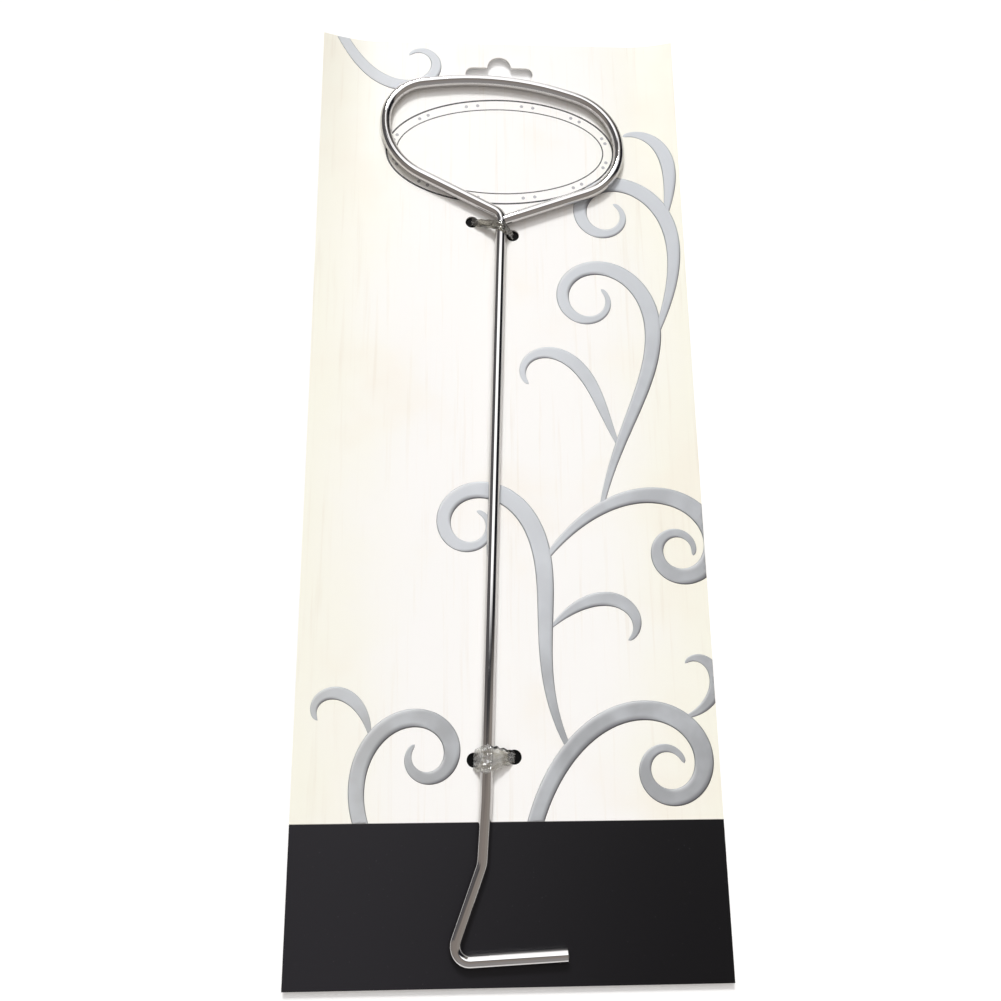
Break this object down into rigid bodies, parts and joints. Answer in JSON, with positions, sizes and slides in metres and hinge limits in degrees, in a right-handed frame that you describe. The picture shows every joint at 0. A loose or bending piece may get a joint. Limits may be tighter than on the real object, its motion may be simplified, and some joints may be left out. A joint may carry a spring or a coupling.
{
  "type": "wick dipper",
  "caption": "Wick dipper of bent chrome wire with a loop handle and a hooked foot, tied flat to a printed hang card by clear plastic ties.",
  "frame": {"origin": "middle of the card's back face", "axes": "+Y up the card towards its hang hole, +Z out of the card's printed face, +X to the right seen from the printed side"},
  "size_m": [0.1016, 0.254, 0.004],
  "materials": {
    "card": "printed paperboard",
    "chrome_wire": "polished chrome plate",
    "clear_tie": "clear plastic film"
  },
  "bodies": {
    "card": {"hang_card": "card", "upper_tie": "clear_tie", "lower_tie": "clear_tie"},
    "dipper": {"dipper_wire": "chrome_wire"}
  },
  "joints": [
    {"name": "dipper_slide", "type": "slide", "parent": "card", "child": "dipper", "axis": [0.034, 0.9994, 0], "range_m": [0, 0.009]}
  ]
}
